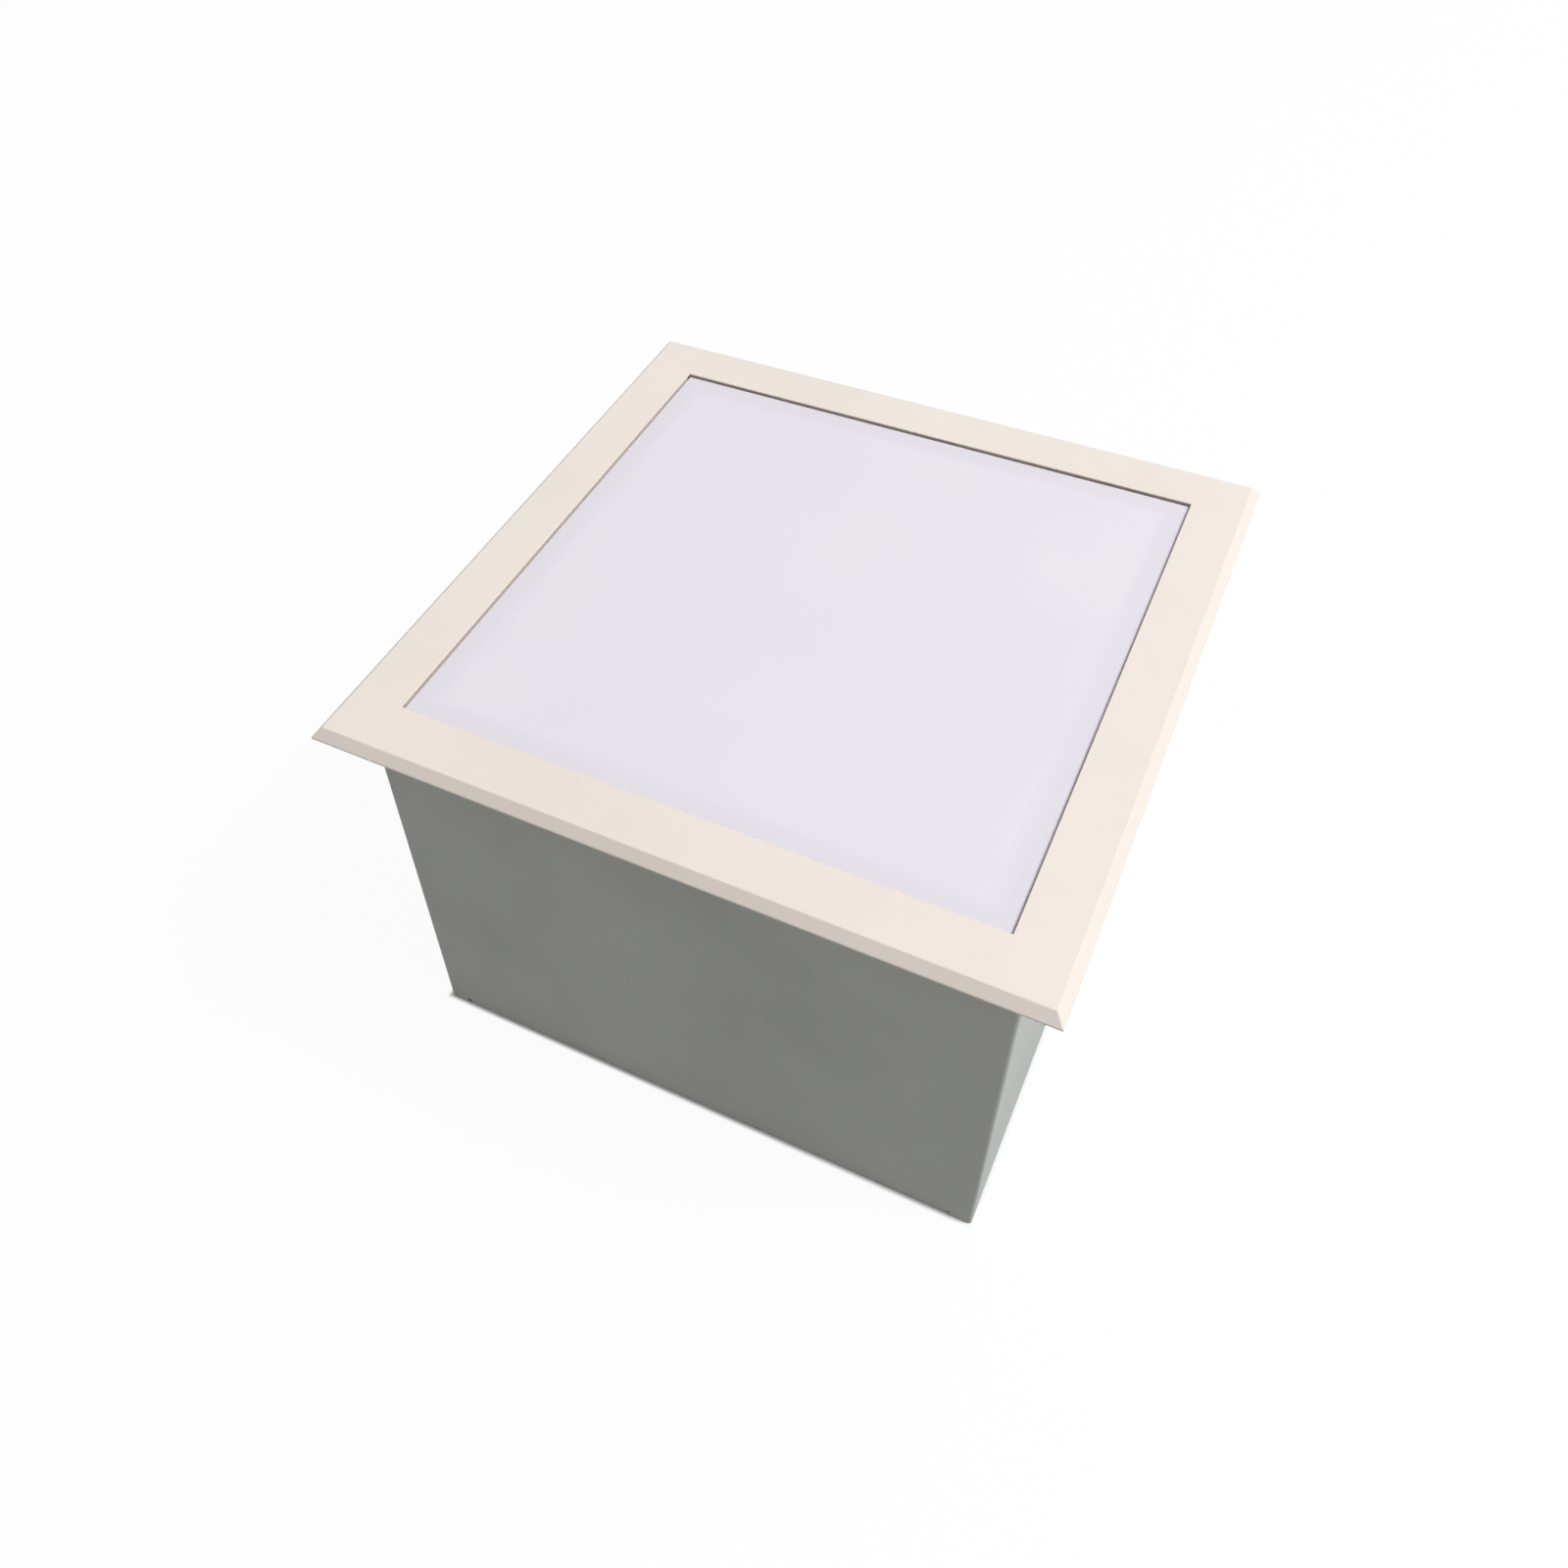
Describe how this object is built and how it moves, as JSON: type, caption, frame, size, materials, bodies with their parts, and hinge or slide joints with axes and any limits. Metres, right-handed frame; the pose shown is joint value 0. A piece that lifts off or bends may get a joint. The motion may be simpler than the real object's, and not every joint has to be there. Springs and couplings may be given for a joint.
{
  "type": "hepa air outlet",
  "caption": "Square ceiling air outlet: folded steel plenum box with a clamped pleated filter, bevelled face frame, membrane screen and round inlet collar with damper.",
  "frame": {"origin": "middle of the back plate's outer face, on which the outlet lies", "axes": "+Z out of the outlet face, +Y along the inlet collar away from the casing, X across the casing"},
  "size_m": [0.6, 0.736, 0.408],
  "materials": {
    "casing_paint": "semi-matt light grey powder coat",
    "frame_paint": "satin warm white powder coat",
    "galvanised_sheet": "galvanised, faint spangle",
    "zinc_plated_steel": "bright zinc plating",
    "anodised_aluminium": "natural anodised",
    "screen_membrane": "smooth white membrane, matt",
    "glass_fibre_paper": "matt",
    "potting_compound": "cured, slightly glossy",
    "seal_foam": "closed cell foam, matt",
    "filter_gasket_foam": "closed cell foam, matt",
    "white_powder_coat": "satin powder coat",
    "bush_plastic": "moulded"
  },
  "bodies": {
    "base": {"casing_wrap": "casing_paint", "back_plate": "casing_paint", "filter_seat": "casing_paint", "frame_brackets": "zinc_plated_steel", "hanger_nuts": "zinc_plated_steel", "inlet_collar": "galvanised_sheet", "collar_rivets": "anodised_aluminium", "shaft_bush_left": "bush_plastic", "shaft_bush_right": "bush_plastic", "damper_quadrant": "zinc_plated_steel", "quadrant_rivets": "anodised_aluminium", "clamp_studs": "zinc_plated_steel", "filter_gasket": "filter_gasket_foam", "filter_sealant": "potting_compound", "filter_pack": "glass_fibre_paper", "pleat_separators": "potting_compound", "filter_guard": "white_powder_coat", "clamp_washers": "zinc_plated_steel", "clamp_nuts": "zinc_plated_steel", "bracket_nuts": "zinc_plated_steel", "frame_screws": "zinc_plated_steel", "face_corner_keys": "anodised_aluminium", "screen_corner_keys": "anodised_aluminium", "membrane_outer": "screen_membrane", "membrane_inner": "screen_membrane", "spline_outer": "seal_foam", "spline_inner": "seal_foam", "ledge_seal": "seal_foam", "screen_seal": "seal_foam", "filter_rail_front": "anodised_aluminium", "filter_clamp_front": "zinc_plated_steel", "face_rail_front": "frame_paint", "screen_rail_front": "anodised_aluminium", "filter_rail_right": "anodised_aluminium", "filter_clamp_right": "zinc_plated_steel", "face_rail_right": "frame_paint", "screen_rail_right": "anodised_aluminium", "filter_rail_rear": "anodised_aluminium", "filter_clamp_rear": "zinc_plated_steel", "face_rail_rear": "frame_paint", "screen_rail_rear": "anodised_aluminium", "filter_rail_left": "anodised_aluminium", "filter_clamp_left": "zinc_plated_steel", "face_rail_left": "frame_paint", "screen_rail_left": "anodised_aluminium"},
    "damper": {"damper_blade": "galvanised_sheet", "damper_shaft": "zinc_plated_steel", "blade_screws": "zinc_plated_steel", "damper_lever": "zinc_plated_steel", "lever_nut": "zinc_plated_steel", "lock_bolt": "zinc_plated_steel", "lock_wing_nut": "zinc_plated_steel"}
  },
  "joints": [
    {"name": "damper_turn", "type": "hinge", "parent": "base", "child": "damper", "pos_m": [0, 0.334, 0.14], "axis": [-1, 0, 0], "range_deg": [0, 90]}
  ]
}
